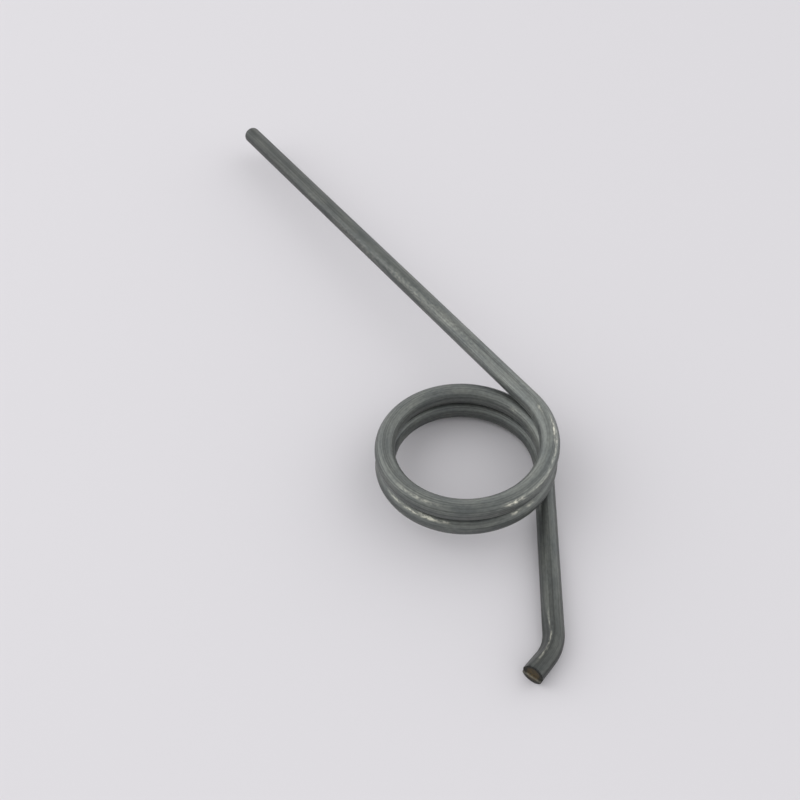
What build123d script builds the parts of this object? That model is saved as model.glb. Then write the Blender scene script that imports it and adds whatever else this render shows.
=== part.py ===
from build123d import *
import os
from math import atan2, ceil, cos, pi, radians, sin, tan

# Torsion spring: one length of round drawn spring wire, wound right-handed into a close coil of
# two turns and a bit. A long straight leg leaves the top turn, and a short leg with a hooked end
# leaves the bottom turn.
#
# Frame: +Z is the coil's axis and the short leg runs along -Y. The origin is on the axis, in the
# plane of the wire's lowest point, which is the underside of the hooked end.
#
# Lengths are millimetres and angles are degrees. Radii named _r are measured to the wire's centre.

# Wire and coil
wire_d = 5.0
coil_inside_d = 35.0
coil_turns = 2.1
turn_gap = 0.4

# The coil opens a little where it runs out into the long leg, and loses its slope in the last of
# that stretch. It is wound a little tighter where it runs into the short leg.
lead_out_deg = 65.0
levelling_deg = 20.0
lead_out_opening = 1.5
lead_in_deg = 55.0
lead_in_closing = 1.0

# Long leg: straight and level, square to the coil's axis, with its end's edge broken.
long_leg_length = 147.0
long_leg_end_chamfer = 0.7

# Short leg: it keeps the coil's slope, then bends in the same sense as the coil.
short_leg_length = 46.0
hook_inside_r = 8.0
hook_bend_deg = 36.0
hook_tip_length = 5.5

# Sheared end of the hook: the blade leaves a square lip at the bottom, and above it the wire
# breaks off short along a face that leans back.
shear_lip_height = 1.8
shear_break_depth = 0.4
shear_break_deg = 8.0

# What follows from the sizes above
wire_r = wire_d / 2
coil_r = coil_inside_d / 2 + wire_r
coil_deg = 360 * coil_turns
coil_pitch = wire_d + turn_gap
slope_deg = atan2(coil_pitch, 2 * pi * coil_r) * 180 / pi
lead_in_r = coil_r - lead_in_closing
lead_out_r = coil_r + lead_out_opening
hook_r = hook_inside_r + wire_r
slope_rise = sin(radians(slope_deg))

# The wound wire is a chain of tangent arcs along a helix, none longer than this.
arc_step_deg = 35.0


def radial(azimuth):
    """Unit vector that points away from the axis at an azimuth."""
    return Vector(cos(radians(azimuth)), sin(radians(azimuth)), 0)


def wound_arcs(start, tangent, radius, from_deg, to_deg):
    """Tangent arcs along a helix at the coil's slope, anticlockwise and up from a start point."""
    centre = start - radial(from_deg) * radius
    count = ceil((to_deg - from_deg) / arc_step_deg)
    step_deg = (to_deg - from_deg) / count
    step_rise = radius * radians(step_deg) * tan(radians(slope_deg))
    arcs = []
    for step in range(1, count + 1):
        end = centre + radial(from_deg + step * step_deg) * radius + Vector(0, 0, step * step_rise)
        arc = TangentArc(start, end, tangent=tangent)
        arcs.append(arc)
        start = arc @ 1
        tangent = arc % 1
    return arcs


def lowest_leg_drop():
    """How far the wire's underside at the hooked end lies below the short leg's upper end."""
    bend = radians(hook_bend_deg)
    down_slope = short_leg_length + hook_r * sin(bend) + hook_tip_length * cos(bend)
    return down_slope * slope_rise + wire_r


def levelling_arc(start, tangent, turn_deg):
    """Arc that turns on by an angle, seen from above, while it loses its slope."""
    level = Vector(tangent.X, tangent.Y, 0).normalized().rotate(Axis.Z, turn_deg)
    half_turn = radians(tangent.get_angle(level)) / 2
    end = start + (tangent + level) * (lead_out_r * tan(half_turn))
    return TangentArc(start, end, tangent=tangent)


def coil_edges():
    """Centre line of the wound wire, from the short leg up to the long leg."""
    tight_centre = radial(lead_in_deg) * lead_in_closing
    start = tight_centre + radial(0) * lead_in_r + Vector(0, 0, lowest_leg_drop())
    upward = Vector(0, cos(radians(slope_deg)), slope_rise)
    open_from_deg = coil_deg - lead_out_deg
    level_from_deg = coil_deg - levelling_deg
    arcs = wound_arcs(start, upward, lead_in_r, 0, lead_in_deg)
    arcs += wound_arcs(arcs[-1] @ 1, arcs[-1] % 1, coil_r, lead_in_deg, open_from_deg)
    arcs += wound_arcs(arcs[-1] @ 1, arcs[-1] % 1, lead_out_r, open_from_deg, level_from_deg)
    arcs.append(levelling_arc(arcs[-1] @ 1, arcs[-1] % 1, levelling_deg))
    return arcs


def short_leg_edges(coil_start, outward):
    """Straight leg from the coil's lower end, the hook's bend and its straight tip."""
    leg = Line(coil_start, coil_start + outward * short_leg_length)
    bend = radians(hook_bend_deg)
    inward = radial(180)
    bend_end = (leg @ 1) + outward * (hook_r * sin(bend)) + inward * (hook_r * (1 - cos(bend)))
    hook = TangentArc(leg @ 1, bend_end, tangent=outward)
    tip = Line(bend_end, bend_end + (hook % 1) * hook_tip_length)
    return [leg, hook, tip]


def drawn_wire(path):
    """Round wire along the centre line, with both ends cut square."""
    section = Plane(origin=path @ 0, z_dir=path % 0) * Circle(wire_r)
    return sweep(section, path=path)


def end_face(solid, point):
    """The flat end face of the wire nearest a point."""
    flats = solid.faces().filter_by(GeomType.PLANE)
    return flats.sort_by(lambda face: (face.center() - point).length)[0]


def chamfered_end(solid, point):
    """The wire with the edge of its end at a point broken."""
    rim = end_face(solid, point).edges()
    return chamfer(rim, min(long_leg_end_chamfer, 0.9 * wire_r))


def sheared_end(solid, point, outward):
    """The wire with the end at a point broken off short above a lip."""
    across = Vector(0, 0, 1).cross(outward)
    face_plane = Plane(origin=point, x_dir=across, z_dir=outward)
    lip_top = shear_lip_height - wire_r
    hinge = face_plane * Pos(0, lip_top, -shear_break_depth) * Rot(-shear_break_deg, 0, 0)
    broken_off = hinge * Box(2 * wire_d, 2 * wire_d, wire_d, align=(Align.CENTER, Align.MIN, Align.MIN))
    return solid - broken_off


def spring():
    """The finished spring."""
    coil = coil_edges()
    long_leg = Line(coil[-1] @ 1, (coil[-1] @ 1) + (coil[-1] % 1) * long_leg_length)
    short_leg = short_leg_edges(coil[0] @ 0, (coil[0] % 0) * -1)
    path = Wire([curve.edge() for curve in [*short_leg, *coil, long_leg]])
    solid = drawn_wire(path)
    solid = chamfered_end(solid, long_leg @ 1)
    return sheared_end(solid, short_leg[-1] @ 1, short_leg[-1] % 1)


wire = spring()
wire.label = "spring_wire"
os.makedirs("parts", exist_ok=True)
export_step(wire, "parts/spring_wire.step")
print("spring_wire volume", round(wire.volume, 1), "mm3, box", wire.bounding_box())
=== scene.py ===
from math import atan2, cos, pi, radians, sin, tan

import bmesh
import bpy
from mathutils import Matrix, Vector


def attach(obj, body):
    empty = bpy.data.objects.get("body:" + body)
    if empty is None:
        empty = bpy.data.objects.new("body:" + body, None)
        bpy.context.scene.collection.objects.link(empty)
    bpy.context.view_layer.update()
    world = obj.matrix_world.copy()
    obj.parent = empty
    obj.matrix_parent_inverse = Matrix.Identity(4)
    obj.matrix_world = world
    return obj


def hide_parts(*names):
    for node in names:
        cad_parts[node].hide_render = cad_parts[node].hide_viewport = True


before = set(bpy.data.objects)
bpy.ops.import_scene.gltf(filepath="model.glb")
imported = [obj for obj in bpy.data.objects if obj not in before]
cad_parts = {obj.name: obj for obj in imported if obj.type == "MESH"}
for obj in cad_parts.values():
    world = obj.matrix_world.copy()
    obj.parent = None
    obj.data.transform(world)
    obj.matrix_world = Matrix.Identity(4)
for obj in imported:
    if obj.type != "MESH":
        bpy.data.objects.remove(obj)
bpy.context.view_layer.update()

bl_info = {
    "name": "Torsion spring",
    "version": (1, 0, 0),
    "blender": (4, 5, 0),
    "location": "3D View > Sidebar > Spring",
    "description": "A wire torsion spring with two legs, and the table that it lies on",
    "category": "Object",
}

# Lengths are metres and angles are radians, unless a name or a comment says otherwise.
# The frame is the drawing's: +Z is the coil's axis and the short leg runs along -Y.
MM = 0.001


# ---------------------------------------------------------------- values a user may change

def length(name, description, default_mm):
    """A length property, given in millimetres and kept in metres."""
    return bpy.props.FloatProperty(name=name, description=description, default=default_mm * MM,
                                   min=0.0, precision=5, unit="LENGTH")


def angle(name, description, default_deg):
    """An angle property, given in degrees."""
    return bpy.props.FloatProperty(name=name, description=description,
                                   default=radians(default_deg), unit="ROTATION")


def linear(hex_colour):
    """An sRGB hex colour such as "#5a5e5d" as linear red, green, blue and alpha."""
    parts = [int(hex_colour[place:place + 2], 16) / 255 for place in (1, 3, 5)]
    parts = [part / 12.92 if part <= 0.04045 else ((part + 0.055) / 1.055) ** 2.4 for part in parts]
    return (*parts, 1.0)


def colour(name, description, hex_colour):
    """A colour property, given as an sRGB hex colour."""
    return bpy.props.FloatVectorProperty(name=name, description=description, size=4, min=0.0,
                                         max=1.0, subtype="COLOR", default=linear(hex_colour))


class WireSizes(bpy.types.PropertyGroup):
    """The spring's sizes, the same as in the drawing. Only the long leg's end differs: it is
    rounded here, and chamfered in the drawing."""
    wire_diameter: length("Wire diameter", "Diameter of the drawn wire", 5.0)
    coil_inside_diameter: length("Coil inside diameter", "Bore of the coil's close turns", 35.0)
    turns: bpy.props.FloatProperty(name="Turns", description="Turns between the two legs",
                                   default=2.1, min=1.0)
    turn_gap: length("Turn gap", "Air between one turn and the next", 0.4)
    lead_out: angle("Opened stretch", "Stretch of the top turn that opens into the long leg", 65.0)
    levelling: angle("Levelling", "Last part of that stretch, which loses the coil's slope", 20.0)
    lead_out_opening: length("Opening", "How much larger its radius is", 1.5)
    lead_in: angle("Tightened stretch", "Stretch of the bottom turn next to the short leg", 55.0)
    lead_in_closing: length("Tightening", "How much smaller its radius is", 1.0)
    long_leg: length("Long leg", "Length of the straight long leg", 147.0)
    long_leg_edge: length("Long leg's edge", "Radius that the end's edge is rounded to", 1.2)
    short_leg: length("Short leg", "Length of the straight short leg", 46.0)
    hook_inside_radius: length("Hook radius", "Inside radius of the hook's bend", 8.0)
    hook_bend: angle("Hook bend", "Angle of the hook's bend", 36.0)
    hook_tip: length("Hook tip", "Straight length after the bend", 5.5)
    lip_height: length("Lip height", "Height of the square lip at the sheared end", 1.8)
    break_depth: length("Break depth", "How far the broken face stands back from the lip", 0.4)
    break_lean: angle("Break lean", "How far the broken face leans back", 8.0)


class Finishes(bpy.types.PropertyGroup):
    """The colours of the steel and of the table."""
    phosphate: colour("Phosphate", "Dull grey coat of the drawn wire", "#5a5e5d")
    phosphate_thin: colour("Phosphate, thin", "Coat where it has worn thin and oily", "#6b6e6a")
    draw_line: colour("Draw lines", "Dark lines left by the drawing die", "#404241")
    # the bare steel's colour also paints the highlights
    bare_steel_and_highlight: colour("Bare steel", "Bright steel where the coat is rubbed off", "#e2e0d0")
    # the sheared face's dark skin is partly painted shade
    sheared_steel_and_shade: colour("Sheared face", "Dark skin round the sheared end", "#2e2d29")
    rusty_break: colour("Broken face", "Rough break, tinted by a film of rust", "#5a4c30")
    table: colour("Table", "Pale table under the spring", "#dbd9dd")


# Places where the coat is rubbed through to bright steel, and painted highlights in the same bright
# steel, as (millimetres along the wire from the hook's end, degrees round the wire with 90 on top
# and 180 on the coil's outside, reach each way along the wire in millimetres, reach each way round
# it in degrees, strength from 0 to 1).
RUBBED_PLACES_AND_HIGHLIGHTS = (
    # the lowest turn's crest at the front left: the brightest mark, a spot and a thin streak
    (143, 130, 4.0, 16, 1.0),
    (147, 130, 1.6, 12, 0.6),
    (138, 135, 9.0, 8, 0.8),
    # the lowest turn's crest at the front right: two spots
    (163, 130, 1.8, 13, 0.9),
    (167, 135, 1.2, 10, 0.7),
    # a speck on the inside of the coil's back right
    (200, 45, 0.9, 14, 0.8),
    # the upper turn's crest at the front left and the front right
    (266, 125, 8.0, 14, 0.35),
    (288, 145, 3.4, 16, 1.0),
    (296, 140, 7.0, 10, 0.35),
    # the outer edge where the coil runs out into the long leg
    (306, 130, 8.0, 8, 0.6),
    (311, 115, 5.0, 9, 0.9),
    (318, 80, 2.0, 12, 0.6),
    # a faint painted highlight along the long leg, which turns from its top to its inner side
    (357, 65, 18.0, 34, 0.10),
    (377, 50, 19.0, 34, 0.14),
    (400, 20, 20.0, 34, 0.11),
    # the light edge of the bending tool's flat, partly burnished and partly a painted highlight
    (13, 65, 5.0, 6, 0.35),
    (9, 75, 4.0, 7, 0.55),
    (5, 80, 4.0, 7, 0.4),
)

# The bending tool's flat on the inside of the hook's bend: millimetres along the wire, degrees
# round it, reach each way along it in millimetres, and depth in millimetres.
TOOL_FLAT = (8.5, 32, 11.0, 0.7)
# The small pit at the flat's upper edge: millimetres along the wire, degrees round it, and its
# radius and depth in millimetres.
TOOL_PIT = (8.8, 66, 0.6, 0.4)

# How finely the wire is drawn: sides round it, millimetres between its rings, and the rings of
# each short bend.
SIDES = 64
HOOK_TIP_STEP_MM = 0.4
SHORT_LEG_STEP_MM = 0.7
COIL_STEP_MM = 1.0
LONG_LEG_STEP_MM = 1.4
HOOK_BEND_RINGS = 24
LEVELLING_RINGS = 8
# Rings across the long leg's rounded edge, and across the face of each end.
EDGE_RINGS = 5
LONG_LEG_FACE_RINGS = 5
HOOK_FACE_RINGS = 12

# A point counts as on the wire's skin from this share of its radius outwards.
SKIN_SHARE = 0.99
# Points nearer than this, in metres, are the same point.
SAME_POINT = 1e-7

# Sizes of the finish's patterns, in millimetres along the wire and across it.
DIE_LINES_MM = (40, 0.34)
COAT_PATCHES_MM = (9, 2.6)
COAT_GRAIN_MM = (1.1, 0.5)
TORN_GRAIN_MM = (0.4, 0.4)
# Height of the finish's relief, in millimetres.
COAT_RELIEF_MM = 0.05
TORN_RELIEF_MM = 0.25

# Painted light across the wire, which paints the upper side lighter than the flanks: the
# direction counted as upward, in degrees round the wire, then the millimetres above the wire's
# middle where the change to the upper side's tone starts and ends, and the tone before and after it.
PAINTED_LIGHT_SIDE_DEG = 80
PAINTED_TOP_LIGHT = (0.4, 2.4, 0.87, 1.11)
# The tone along the wire: millimetres where a change starts and ends, and the tone before
# and after it. The tones multiply.
TONES_ALONG = (
    (5, 70, 0.56, 1.13),
    (260, 330, 1.0, 1.2),
    (335, 375, 1.0, 0.64),
    (375, 480, 1.0, 0.56),
)

# On the sheared face, rust is full inside the first radius and gone at the second.
RUST_RADII_MM = (1.1, 1.9)
# The lip's painted highlight, a thin light line: millimetres below the face's middle, and its reach
# each way.
LIP_HIGHLIGHT_MM = (0.8, 0.2)

# The light tent's strength, by the height, side and depth of the direction looked along: where a
# change starts and ends, and the strength at each. The strengths multiply.
TENT_BY_HEIGHT = (0.0, 1.0, 2.0, 0.97)
TENT_BY_SIDE = (0.2, 0.8, 0.9, 1.25)
TENT_BY_DEPTH = (-0.75, 0.0, 0.62, 1.0)
# The even grey that the camera sees past the table's edge.
GREY_PAST_TABLE = 0.74

# The soft box on the left: place in metres, size in metres and watts.
SOFT_BOX = ((-0.50, 0.05, 0.45), 0.6, 0.5)

# How far the table reaches each way, in metres.
TABLE_REACH = 4.0
# The table leans, because the spring lies on its short leg and its lowest turn. Its upward
# direction, and its height at the frame's origin.
TABLE_UP = (0.0056, -0.0434, 0.9990)
TABLE_HEIGHT_MM = 2.495

# Where the camera stands, how it is turned, and its lens.
CAMERA_PLACE_MM = (-6.5, -177.2, 216.4)
CAMERA_TURN_DEG = (43.55, 0.82, 2.21)
CAMERA_LENS_MM = 49.4


# ---------------------------------------------------------------- the wire

class WireEnd:
    """The growing end of the wire: its last ring of edges, its centre and its heading."""

    def __init__(self, bm, place, heading, radius, sides):
        self.bm = bm
        self.place = place.copy()
        self.heading = heading.normalized()
        self.travelled = 0.0
        self.unwound = bm.verts.layers.float_vector.new("unwound")
        turn = self.heading.to_track_quat("Z", "Y").to_matrix().to_4x4()
        made = bmesh.ops.create_circle(bm, cap_ends=False, segments=sides, radius=radius,
                                       matrix=Matrix.Translation(place) @ turn)
        self.verts = made["verts"]
        # the circle is all that the bmesh holds so far
        self.edges = bm.edges[:]
        for vert in self.verts:
            across = turn.to_3x3().inverted() @ (vert.co - place)
            vert[self.unwound] = Vector((0.0, across.x, across.y))

    def grow(self, distance):
        """Extrudes the last ring, and leaves the new ring where the old one was."""
        made = bmesh.ops.extrude_edge_only(self.bm, edges=self.edges)["geom"]
        self.verts = [item for item in made if isinstance(item, bmesh.types.BMVert)]
        ring = set(self.verts)
        self.edges = [item for item in made if isinstance(item, bmesh.types.BMEdge)
                      and item.verts[0] in ring and item.verts[1] in ring]
        self.travelled += distance
        for vert in self.verts:
            old = vert[self.unwound]
            vert[self.unwound] = Vector((self.travelled, old.y, old.z))

    def straight(self, distance, steps):
        """Grows the wire straight on."""
        step = self.heading * (distance / steps)
        for _ in range(steps):
            self.grow(distance / steps)
            bmesh.ops.translate(self.bm, verts=self.verts, vec=step)
            self.place += step

    def round(self, centre, axis, turn, rise, steps):
        """Grows the wire round an axis through a centre, while it rises along that axis."""
        step = Matrix.Rotation(turn / steps, 3, axis)
        lift = axis * (rise / steps)
        radius = (self.place - centre - axis * (self.place - centre).dot(axis)).length
        distance = ((radius * turn / steps) ** 2 + (rise / steps) ** 2) ** 0.5
        for _ in range(steps):
            self.grow(distance)
            bmesh.ops.rotate(self.bm, verts=self.verts, cent=centre, matrix=step)
            bmesh.ops.translate(self.bm, verts=self.verts, vec=lift)
            self.place = centre + step @ (self.place - centre) + lift
            self.heading = step @ self.heading

    def narrow(self, inset, advance):
        """Grows one narrower ring, for a rounded edge or for the face of an end."""
        self.grow(0.0)
        radius = (self.verts[0].co - self.place).length
        scale = (radius - inset) / radius
        bmesh.ops.scale(self.bm, verts=self.verts, vec=(scale, scale, scale),
                        space=Matrix.Translation(-self.place))
        bmesh.ops.translate(self.bm, verts=self.verts, vec=self.heading * advance)
        self.place += self.heading * advance
        for vert in self.verts:
            old = vert[self.unwound]
            vert[self.unwound] = Vector((self.travelled, old.y * scale, old.z * scale))

    def close(self):
        """Closes the wire's end at its centre."""
        bmesh.ops.pointmerge(self.bm, verts=self.verts, merge_co=self.place)
        for vert in self.bm.verts:
            if (vert.co - self.place).length < SAME_POINT:
                vert[self.unwound] = Vector((self.travelled, 0.0, 0.0))


def radial(azimuth):
    """Unit vector that points away from the coil's axis at an azimuth."""
    return Vector((cos(azimuth), sin(azimuth), 0.0))


def steps_for(distance, step_mm):
    """How many rings a stretch needs for rings about step_mm apart."""
    return max(2, round(distance / (step_mm * MM)))


def draw_wire(bm, sizes):
    """The whole wire, from the hook's sheared end up to the long leg's end."""
    up = Vector((0, 0, 1))
    wire_r = sizes.wire_diameter / 2
    coil_r = sizes.coil_inside_diameter / 2 + wire_r
    lead_in_r = coil_r - sizes.lead_in_closing
    lead_out_r = coil_r + sizes.lead_out_opening
    hook_r = sizes.hook_inside_radius + wire_r
    slope = atan2(sizes.wire_diameter + sizes.turn_gap, 2 * pi * coil_r)
    bend = sizes.hook_bend

    # the short leg keeps the coil's slope, so the hook's end is the lowest part of the wire
    outward = Vector((0, -cos(slope), -sin(slope)))
    inward = radial(pi)
    reach = sizes.short_leg + hook_r * sin(bend) + sizes.hook_tip * cos(bend)
    tight_centre = radial(sizes.lead_in) * sizes.lead_in_closing
    coil_start = tight_centre + radial(0) * lead_in_r + up * (reach * sin(slope) + wire_r)
    leg_end = coil_start + outward * sizes.short_leg
    bend_end = leg_end + outward * hook_r * sin(bend) + inward * hook_r * (1 - cos(bend))
    tip_heading = outward * cos(bend) + inward * sin(bend)
    hook_end = bend_end + tip_heading * sizes.hook_tip

    end = WireEnd(bm, hook_end, -tip_heading, wire_r, SIDES)
    end.straight(sizes.hook_tip, steps_for(sizes.hook_tip, HOOK_TIP_STEP_MM))
    end.round(leg_end + inward * hook_r, inward.cross(outward), bend, 0.0,
              HOOK_BEND_RINGS)
    end.straight(sizes.short_leg, steps_for(sizes.short_leg, SHORT_LEG_STEP_MM))

    # the coil: a tightened stretch, the close turns, and an opened stretch that levels out
    coil_turn = 2 * pi * sizes.turns
    open_from = coil_turn - sizes.lead_out
    level_from = coil_turn - sizes.levelling
    for radius, start, finish in ((lead_in_r, 0.0, sizes.lead_in),
                                  (coil_r, sizes.lead_in, open_from),
                                  (lead_out_r, open_from, level_from)):
        centre = end.place - radial(start) * radius
        turn = finish - start
        end.round(centre, up, turn, radius * turn * tan(slope),
                  steps_for(radius * turn, COIL_STEP_MM))
    level = Vector((end.heading.x, end.heading.y, 0)).normalized()
    level = Matrix.Rotation(sizes.levelling, 3, "Z") @ level
    axis = end.heading.cross(level).normalized()
    centre = end.place + axis.cross(end.heading) * lead_out_r
    end.round(centre, axis, end.heading.angle(level), 0.0, LEVELLING_RINGS)

    edge = sizes.long_leg_edge
    straight = sizes.long_leg - edge
    end.straight(straight, steps_for(straight, LONG_LEG_STEP_MM))
    for ring in range(EDGE_RINGS):
        before = ring * pi / (2 * EDGE_RINGS)
        after = (ring + 1) * pi / (2 * EDGE_RINGS)
        end.narrow(edge * (cos(before) - cos(after)), edge * (sin(after) - sin(before)))
    for _ in range(LONG_LEG_FACE_RINGS - 1):
        end.narrow((wire_r - edge) / LONG_LEG_FACE_RINGS, 0.0)
    end.close()
    return hook_end, tip_heading


def close_hook_end(bm, sizes, place, outward):
    """The sheared end: concentric rings across the face, pushed back above the square lip."""
    unwound = bm.verts.layers.float_vector["unwound"]
    rim = [edge for edge in bm.edges if len(edge.link_faces) == 1]
    wire_r = sizes.wire_diameter / 2
    face_verts = {vert for edge in rim for vert in edge.verts}
    edges = rim
    for ring in range(1, HOOK_FACE_RINGS):
        made = bmesh.ops.extrude_edge_only(bm, edges=edges)["geom"]
        verts = [item for item in made if isinstance(item, bmesh.types.BMVert)]
        inner = set(verts)
        edges = [item for item in made if isinstance(item, bmesh.types.BMEdge)
                 and item.verts[0] in inner and item.verts[1] in inner]
        scale = (HOOK_FACE_RINGS - ring) / (HOOK_FACE_RINGS - ring + 1)
        bmesh.ops.scale(bm, verts=verts, vec=(scale, scale, scale),
                        space=Matrix.Translation(-place))
        for vert in verts:
            old = vert[unwound]
            vert[unwound] = Vector((0.0, old.y * scale, old.z * scale))
        face_verts |= inner
    bmesh.ops.pointmerge(bm, verts=verts, merge_co=place)
    face_verts = {vert for vert in face_verts if vert.is_valid}
    up = outward.cross(Vector((0, 0, 1)).cross(outward)).normalized()
    lip_top = sizes.lip_height - wire_r
    for vert in face_verts:
        if (vert.co - place).length < SAME_POINT:
            vert[unwound] = Vector((0.0, 0.0, 0.0))
        height = (vert.co - place).dot(up)
        if height > lip_top:
            back = sizes.break_depth + (height - lip_top) * tan(sizes.break_lean)
            vert.co -= outward * back
    return face_verts


def bump_up(distance):
    """1 at the middle of a mark, falling smoothly to 0 at a distance of 1."""
    return max(0.0, 1.0 - distance * distance) ** 2


def turned(degrees, middle):
    """The angle from the middle to a place, the short way round."""
    return (degrees - middle + 180) % 360 - 180


def mark_rubbed_and_highlit_places(bm):
    """Writes how far the coat is rubbed through, and how strong a painted highlight is, at each
    point of the wire.
    """
    rubbed_and_highlit = bm.verts.layers.float["rubbed_and_highlit"]
    unwound = bm.verts.layers.float_vector["unwound"]
    for vert in bm.verts:
        place = vert[unwound]
        along = place.x / MM
        degrees = atan2(place.z, place.y) * 180 / pi
        for middle, middle_deg, length_mm, width_deg, strength in RUBBED_PLACES_AND_HIGHLIGHTS:
            if abs(along - middle) < length_mm:
                mark = bump_up((along - middle) / length_mm)
                mark *= bump_up(turned(degrees, middle_deg) / width_deg)
                vert[rubbed_and_highlit] = max(vert[rubbed_and_highlit], mark * strength)


def press_tool_flat(bm, wire_r):
    """Presses the bending tool's flat and its pit into the inside of the hook's bend."""
    unwound = bm.verts.layers.float_vector["unwound"]
    middle, flat_deg, reach, depth = TOOL_FLAT
    pit_at, pit_deg, pit_r, pit_depth = TOOL_PIT
    rings = {}
    for vert in bm.verts:
        place = vert[unwound]
        if abs(place.x / MM - middle) < reach and place.yz.length > SKIN_SHARE * wire_r:
            rings.setdefault(round(place.x, 7), []).append(vert)
    for distance, verts in rings.items():
        centre = sum((vert.co for vert in verts), Vector()) / len(verts)
        first = max(verts, key=lambda vert: vert[unwound].y).co - centre
        second = max(verts, key=lambda vert: vert[unwound].z).co - centre
        towards = (first * cos(radians(flat_deg)) + second * sin(radians(flat_deg))).normalized()
        limit = wire_r - depth * MM * bump_up((distance / MM - middle) / reach)
        for vert in verts:
            place = vert[unwound]
            proud = (vert.co - centre).dot(towards) - limit
            if proud > 0:
                vert.co -= towards * proud
            round_mm = radians(turned(atan2(place.z, place.y) * 180 / pi, pit_deg)) * wire_r / MM
            from_pit = ((distance / MM - pit_at) ** 2 + round_mm ** 2) ** 0.5 / pit_r
            vert.co += (centre - vert.co).normalized() * (pit_depth * MM * bump_up(from_pit))


# ---------------------------------------------------------------- materials

def add(tree, kind, feeds=None, **settings):
    """Adds a node, sets its settings, and feeds its inputs with values or other nodes' outputs.
    A Map Range node's inputs 0 to 4 are the value, the two ends of its range, and what they
    become. A colour Mix node's inputs 0, 6 and 7 are the factor and the two colours."""
    node = tree.nodes.new(kind)
    for name, value in settings.items():
        setattr(node, name, value)
    for name, value in (feeds or {}).items():
        if isinstance(value, bpy.types.NodeSocket):
            tree.links.new(value, node.inputs[name])
        else:
            node.inputs[name].default_value = value
    return node


def new_material(name):
    """An empty node material."""
    material = bpy.data.materials.new(name)
    material.use_nodes = True
    material.node_tree.nodes.clear()
    return material


def along_wire(tree, long_mm, wide_mm):
    """The wire's own coordinates, scaled so that one unit is long_mm along it and wide_mm across."""
    place = add(tree, "ShaderNodeAttribute", attribute_name="unwound").outputs["Vector"]
    wide = 1 / (wide_mm * MM)
    return add(tree, "ShaderNodeVectorMath", {0: place, 1: (1 / (long_mm * MM), wide, wide)},
               operation="MULTIPLY").outputs["Vector"]


def tone_and_painted_top_light(tree):
    """A slow change of tone along the wire: dark on the short leg, lightest where the coil runs
    out into the long leg, and darker again towards that leg's end. Times painted light across
    the wire, which makes the upper side a little lighter than the flanks."""
    place = add(tree, "ShaderNodeAttribute", attribute_name="unwound").outputs["Vector"]
    along = add(tree, "ShaderNodeSeparateXYZ", {"Vector": place}).outputs["X"]
    painted_light_side = (0.0, cos(radians(PAINTED_LIGHT_SIDE_DEG)), sin(radians(PAINTED_LIGHT_SIDE_DEG)))
    toward_painted_light = add(tree, "ShaderNodeVectorMath", {0: place, 1: painted_light_side},
                 operation="DOT_PRODUCT").outputs["Value"]
    start, finish, before, after = PAINTED_TOP_LIGHT
    tone = add(tree, "ShaderNodeMapRange", {0: toward_painted_light, 1: start * MM, 2: finish * MM,
                                            3: before, 4: after}).outputs[0]
    for start, finish, before, after in TONES_ALONG:
        share = add(tree, "ShaderNodeMapRange", {0: along, 1: start * MM, 2: finish * MM,
                                                 3: before, 4: after}).outputs[0]
        tone = add(tree, "ShaderNodeMath", {0: tone, 1: share}, operation="MULTIPLY").outputs[0]
    return tone


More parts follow.
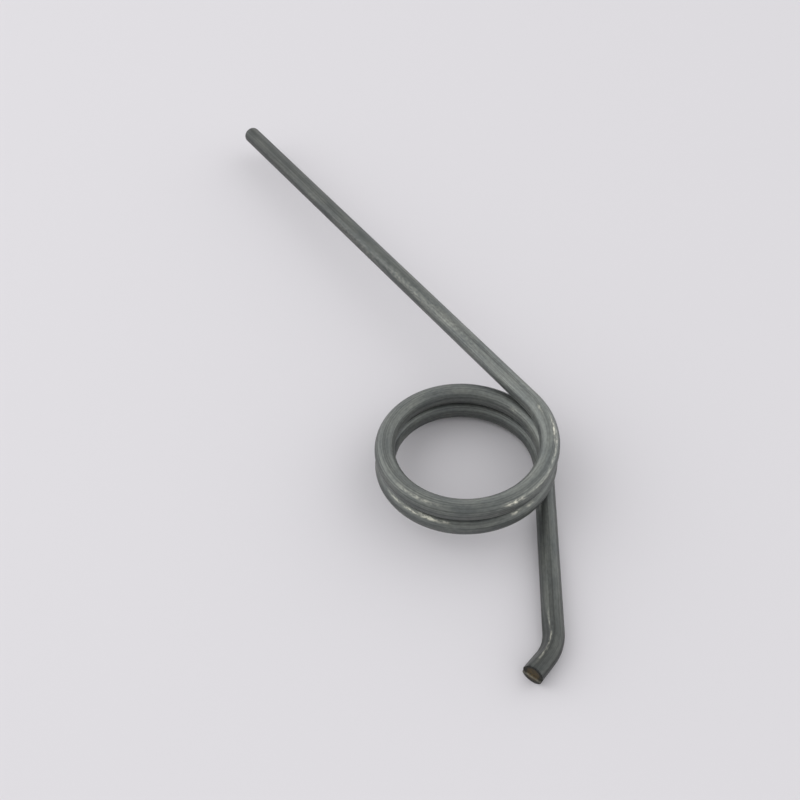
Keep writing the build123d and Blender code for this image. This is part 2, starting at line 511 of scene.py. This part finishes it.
def phosphated_spring_steel(colours):
    """Drawn spring wire with a phosphate coat: dull, slightly metallic, and lined along its
    length by the drawing die. The coat gives it a soft grey with slightly paler patches."""
    material = new_material("phosphated_spring_steel")
    tree = material.node_tree
    # the die's lines, drawn coarser than real ones so that they show
    lines = add(tree, "ShaderNodeTexNoise", {"Vector": along_wire(tree, *DIE_LINES_MM),
                                             "Scale": 1.0, "Detail": 2.0,
                                             "Roughness": 0.55}).outputs[0]
    # patches of the coat, a few millimetres across
    patches = add(tree, "ShaderNodeTexNoise", {"Vector": along_wire(tree, *COAT_PATCHES_MM),
                                               "Scale": 1.0, "Detail": 3.0,
                                               "Roughness": 0.55}).outputs[0]
    # phosphate crystals and handling marks, about 0.5 mm
    grain = add(tree, "ShaderNodeTexNoise", {"Vector": along_wire(tree, *COAT_GRAIN_MM),
                                             "Scale": 1.0, "Detail": 2.0}).outputs[0]
    thin = add(tree, "ShaderNodeMapRange",
               {0: patches, 1: 0.36, 2: 0.66, 3: 0.0, 4: 1.0}).outputs[0]
    coat = add(tree, "ShaderNodeMix", {0: thin, 6: colours.phosphate, 7: colours.phosphate_thin},
               data_type="RGBA").outputs[2]
    lined = add(tree, "ShaderNodeMapRange",
                {0: lines, 1: 0.56, 2: 0.36, 3: 0.0, 4: 0.6}).outputs[0]
    coat = add(tree, "ShaderNodeMix", {0: lined, 6: coat, 7: colours.draw_line},
               data_type="RGBA").outputs[2]
    mottled = add(tree, "ShaderNodeMapRange",
                  {0: grain, 1: 0.3, 2: 0.7, 3: 0.86, 4: 1.14}).outputs[0]
    # the coat is scaled by its grain, its tone along the wire, and painted light on its upper side
    light = add(tree, "ShaderNodeMath", {0: mottled, 1: tone_and_painted_top_light(tree)},
                operation="MULTIPLY").outputs[0]
    coat = add(tree, "ShaderNodeVectorMath", {0: coat, "Scale": light},
               operation="SCALE").outputs["Vector"]

    # the grain breaks up the rubbed places and the painted highlights
    rubbed_and_highlit = add(tree, "ShaderNodeAttribute", attribute_name="rubbed_and_highlit").outputs["Fac"]
    worn = add(tree, "ShaderNodeMapRange",
               {0: grain, 1: 0.42, 2: 0.62, 3: 0.15, 4: 1.0}).outputs[0]
    bare = add(tree, "ShaderNodeMath", {0: rubbed_and_highlit, 1: worn}, operation="MULTIPLY").outputs[0]
    base = add(tree, "ShaderNodeMix", {0: bare, 6: coat, 7: colours.bare_steel_and_highlight},
               data_type="RGBA").outputs[2]

    # the lines' dark parts are the roughest, and bare steel is smoother than the coat
    rough = add(tree, "ShaderNodeMapRange",
                {0: lines, 1: 0.3, 2: 0.7, 3: 0.50, 4: 0.38}).outputs[0]
    smoother = add(tree, "ShaderNodeMapRange",
                   {0: bare, 1: 0.0, 2: 1.0, 3: 1.0, 4: 0.6}).outputs[0]
    rough = add(tree, "ShaderNodeMath", {0: rough, 1: smoother},
                operation="MULTIPLY").outputs[0]
    height = add(tree, "ShaderNodeMath", {0: lines, 1: grain}, operation="ADD").outputs[0]
    bump = add(tree, "ShaderNodeBump", {"Height": height, "Strength": 0.5,
                                        "Distance": COAT_RELIEF_MM * MM}).outputs[0]
    shader = add(tree, "ShaderNodeBsdfPrincipled",
                 {"Base Color": base, "Roughness": rough, "Metallic": 0.55, "Normal": bump})
    add(tree, "ShaderNodeOutputMaterial", {"Surface": shader.outputs[0]})
    return material


def sheared_and_broken_steel(colours):
    """The end that a blade cut part of the way through before it broke: smeared steel round the rim
    and on the lip, darkened partly as painted shade, and a coarse break in the middle with a brown
    film of rust."""
    material = new_material("sheared_and_broken_steel")
    tree = material.node_tree
    place = add(tree, "ShaderNodeAttribute", attribute_name="unwound").outputs["Vector"]
    centred = add(tree, "ShaderNodeVectorMath", {0: place, 1: (0.0, 1.0, 1.0)},
                  operation="MULTIPLY").outputs["Vector"]
    radius = add(tree, "ShaderNodeVectorMath", {0: centred}, operation="LENGTH").outputs["Value"]
    full, gone = RUST_RADII_MM
    middle = add(tree, "ShaderNodeMapRange",
                 {0: radius, 1: gone * MM, 2: full * MM, 3: 0.0, 4: 1.0}).outputs[0]
    # the break's torn grain
    torn = add(tree, "ShaderNodeTexNoise", {"Vector": along_wire(tree, *TORN_GRAIN_MM),
                                            "Scale": 1.0, "Detail": 4.0,
                                            "Roughness": 0.7}).outputs[0]
    flecked = add(tree, "ShaderNodeMapRange",
                  {0: torn, 1: 0.4, 2: 0.6, 3: 0.2, 4: 1.0}).outputs[0]
    rust = add(tree, "ShaderNodeMath", {0: middle, 1: flecked}, operation="MULTIPLY").outputs[0]
    base = add(tree, "ShaderNodeMix", {0: rust, 6: colours.sheared_steel_and_shade, 7: colours.rusty_break},
               data_type="RGBA").outputs[2]
    # near its upper edge the lip gets a thin painted highlight line
    line_below, line_reach = LIP_HIGHLIGHT_MM
    across = add(tree, "ShaderNodeSeparateXYZ", {"Vector": place}).outputs["Z"]
    offset = add(tree, "ShaderNodeMath", {0: across, 1: line_below * MM},
                 operation="ADD").outputs[0]
    offset = add(tree, "ShaderNodeMath", {0: offset}, operation="ABSOLUTE").outputs[0]
    painted_lip_highlight = add(tree, "ShaderNodeMapRange",
                    {0: offset, 1: 0.0, 2: line_reach * MM, 3: 0.16, 4: 0.0}).outputs[0]
    base = add(tree, "ShaderNodeMix", {0: painted_lip_highlight, 6: base, 7: colours.bare_steel_and_highlight},
               data_type="RGBA").outputs[2]
    bump = add(tree, "ShaderNodeBump", {"Height": torn, "Strength": 0.8,
                                        "Distance": TORN_RELIEF_MM * MM}).outputs[0]
    shader = add(tree, "ShaderNodeBsdfPrincipled",
                 {"Base Color": base, "Roughness": 0.55, "Metallic": 0.5, "Normal": bump})
    add(tree, "ShaderNodeOutputMaterial", {"Surface": shader.outputs[0]})
    return material


def matt_white_table(colours):
    """Matt coated board: an even pale white, slightly cool, with no shine."""
    material = new_material("matt_white_table")
    tree = material.node_tree
    shader = add(tree, "ShaderNodeBsdfDiffuse", {"Color": colours.table})
    add(tree, "ShaderNodeOutputMaterial", {"Surface": shader.outputs[0]})
    return material


# ---------------------------------------------------------------- the stage

def light_tent():
    """The world: walls that are brightest at the sides, a dimmer roof, and the darkest part
    where the viewer stands."""
    world = bpy.data.worlds.new("soft_room")
    world.use_nodes = True
    tree = world.node_tree
    tree.nodes.clear()
    aim = add(tree, "ShaderNodeTexCoord").outputs["Generated"]
    parts = add(tree, "ShaderNodeSeparateXYZ", {"Vector": aim}).outputs
    side = add(tree, "ShaderNodeMath", {0: parts["X"]}, operation="ABSOLUTE").outputs[0]
    bright = 1.0
    for part, (start, finish, at_start, at_finish) in ((parts["Z"], TENT_BY_HEIGHT),
                                                       (side, TENT_BY_SIDE),
                                                       (parts["Y"], TENT_BY_DEPTH)):
        share = add(tree, "ShaderNodeMapRange",
                    {0: part, 1: start, 2: finish, 3: at_start, 4: at_finish}).outputs[0]
        bright = add(tree, "ShaderNodeMath", {0: bright, 1: share},
                     operation="MULTIPLY").outputs[0]
    # what the camera sees past the table's edge is an even pale grey
    seen = add(tree, "ShaderNodeLightPath").outputs["Is Camera Ray"]
    bright = add(tree, "ShaderNodeMix", {0: seen, 2: bright, 3: GREY_PAST_TABLE},
                 data_type="FLOAT").outputs[0]
    sky = add(tree, "ShaderNodeBackground", {"Strength": bright})
    add(tree, "ShaderNodeOutputWorld", {"Surface": sky.outputs[0]})
    return world


def soft_box():
    """The square lamp on the left, turned towards the spring."""
    place, size, watts = SOFT_BOX
    light = bpy.data.lights.new("soft_box", "AREA")
    light.shape = "SQUARE"
    light.size = size
    light.energy = watts
    lamp = bpy.data.objects.new("soft_box", light)
    lamp.location = place
    lamp.rotation_euler = (-lamp.location).to_track_quat("-Z", "Y").to_euler()
    return lamp


def viewing_camera():
    """The camera, at its place and turned to the spring."""
    camera = bpy.data.cameras.new("camera")
    camera.sensor_width = 36.0
    camera.lens = CAMERA_LENS_MM
    camera.clip_start = 0.01
    viewer = bpy.data.objects.new("camera", camera)
    viewer.location = Vector(CAMERA_PLACE_MM) * MM
    viewer.rotation_euler = [radians(turn) for turn in CAMERA_TURN_DEG]
    return viewer


# ---------------------------------------------------------------- operators

def finished_object(name, bm, materials):
    """A mesh object at the origin, made from a bmesh."""
    mesh = bpy.data.meshes.new(name)
    bm.to_mesh(mesh)
    bm.free()
    for material in materials:
        mesh.materials.append(material)
    piece = bpy.data.objects.new(name, mesh)
    bpy.context.scene.collection.objects.link(piece)
    return piece


class SPRING_OT_wire(bpy.types.Operator):
    """Draws the spring's wire and gives it its finish"""
    bl_idname = "spring.wire"
    bl_label = "Draw the wire"

    def execute(self, context):
        sizes = context.scene.spring_sizes
        colours = context.scene.spring_finishes
        bm = bmesh.new()
        bm.verts.layers.float.new("rubbed_and_highlit")
        hook_end, outward = draw_wire(bm, sizes)
        face_verts = close_hook_end(bm, sizes, hook_end, outward)
        press_tool_flat(bm, sizes.wire_diameter / 2)
        mark_rubbed_and_highlit_places(bm)
        bmesh.ops.recalc_face_normals(bm, faces=bm.faces)
        for face in bm.faces:
            face.smooth = True
            if all(vert in face_verts for vert in face.verts):
                face.material_index = 1
        wire = finished_object("spring_wire_drawn", bm, [phosphated_spring_steel(colours),
                                                         sheared_and_broken_steel(colours)])
        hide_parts("spring_wire")
        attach(wire, "root")
        return {"FINISHED"}


class SPRING_OT_stage(bpy.types.Operator):
    """Makes the table, the lights and the camera"""
    bl_idname = "spring.stage"
    bl_label = "Set the stage"

    def execute(self, context):
        colours = context.scene.spring_finishes
        up = Vector(TABLE_UP).normalized()
        bm = bmesh.new()
        turn = up.to_track_quat("Z", "Y").to_matrix().to_4x4()
        bmesh.ops.create_grid(bm, x_segments=1, y_segments=1, size=TABLE_REACH,
                              matrix=Matrix.Translation(up * TABLE_HEIGHT_MM * MM) @ turn)
        table = finished_object("table", bm, [matt_white_table(colours)])

        scene = context.scene
        scene.world = light_tent()
        scene.collection.objects.link(soft_box())
        viewer = viewing_camera()
        scene.collection.objects.link(viewer)
        scene.camera = viewer
        scene.view_settings.view_transform = "Standard"
        return {"FINISHED"}


class SPRING_PT_panel(bpy.types.Panel):
    """Lists the spring's parts and their values"""
    bl_idname = "SPRING_PT_panel"
    bl_label = "Torsion spring"
    bl_space_type = "VIEW_3D"
    bl_region_type = "UI"
    bl_category = "Spring"

    def draw(self, context):
        layout = self.layout
        for operator in OPERATORS:
            layout.operator(operator.bl_idname)
        for group in (context.scene.spring_sizes, context.scene.spring_finishes):
            column = layout.column()
            for name in group.__annotations__:
                column.prop(group, name)


OPERATORS = (SPRING_OT_wire, SPRING_OT_stage)
CLASSES = (WireSizes, Finishes, *OPERATORS, SPRING_PT_panel)


def register():
    for item in CLASSES:
        bpy.utils.register_class(item)
    bpy.types.Scene.spring_sizes = bpy.props.PointerProperty(type=WireSizes)
    bpy.types.Scene.spring_finishes = bpy.props.PointerProperty(type=Finishes)


def unregister():
    del bpy.types.Scene.spring_finishes
    del bpy.types.Scene.spring_sizes
    for item in reversed(CLASSES):
        bpy.utils.unregister_class(item)


def main():
    register()
    bpy.ops.spring.wire()
    bpy.ops.spring.stage()


if __name__ == "__main__":
    main()
